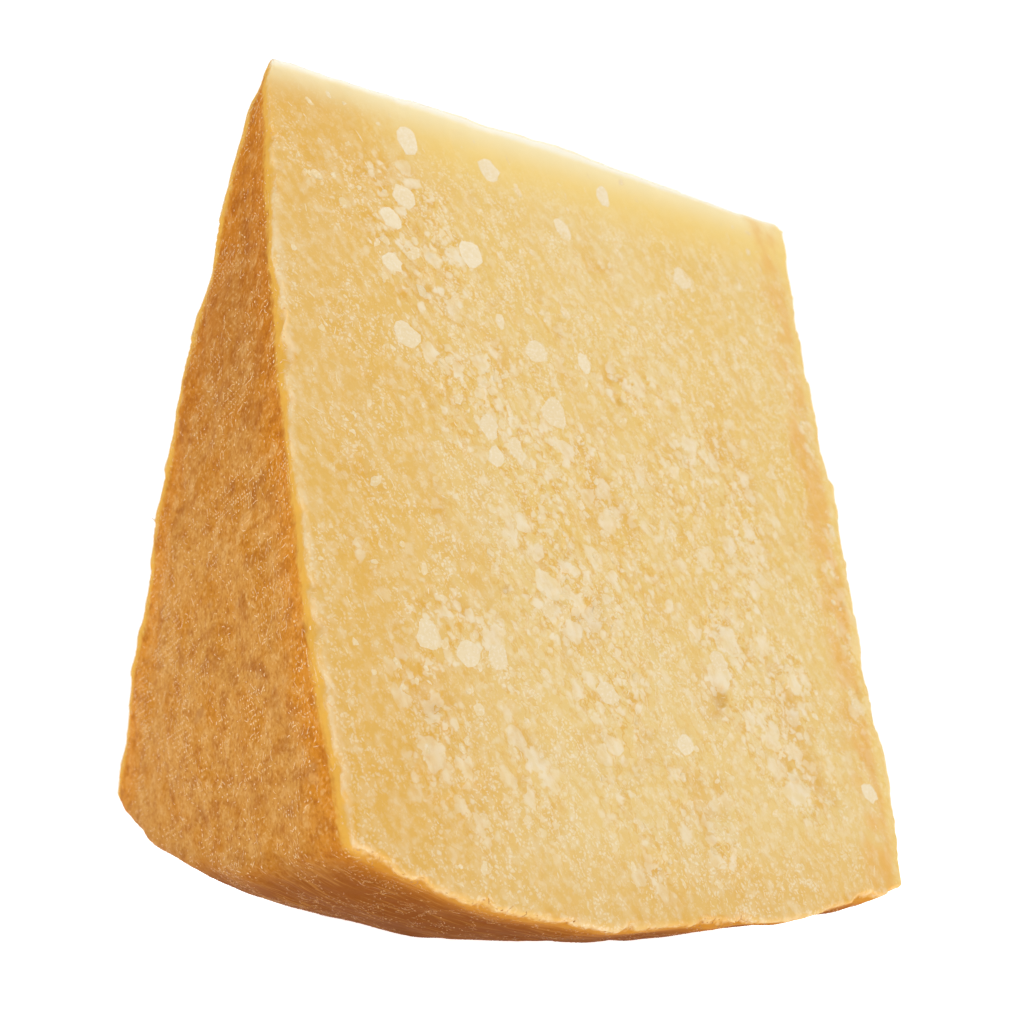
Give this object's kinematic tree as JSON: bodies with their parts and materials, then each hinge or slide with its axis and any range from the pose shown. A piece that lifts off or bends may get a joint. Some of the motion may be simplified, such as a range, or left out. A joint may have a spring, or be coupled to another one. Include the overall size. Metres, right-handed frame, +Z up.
{
  "type": "parmesan chunk",
  "caption": "Wedge of hard grainy cheese with rind, split from a wheel, standing on its curved side rind with the narrow ridge up.",
  "frame": {"origin": "centre of the bounding box's base, on the surface that the chunk stands on", "axes": "+Z up, +X along the ridge from the flat rind to the broken end, +Y from the near split face to the far one"},
  "size_m": [0.1162, 0.1174, 0.1425],
  "materials": {
    "cheese": "pale straw-yellow grainy paste with whitish flakes and crystals on the split faces, mottled orange-brown dry rind on the flat and side rinds"
  },
  "bodies": {
    "root": {"parmesan_chunk": "cheese"}
  },
  "joints": []
}
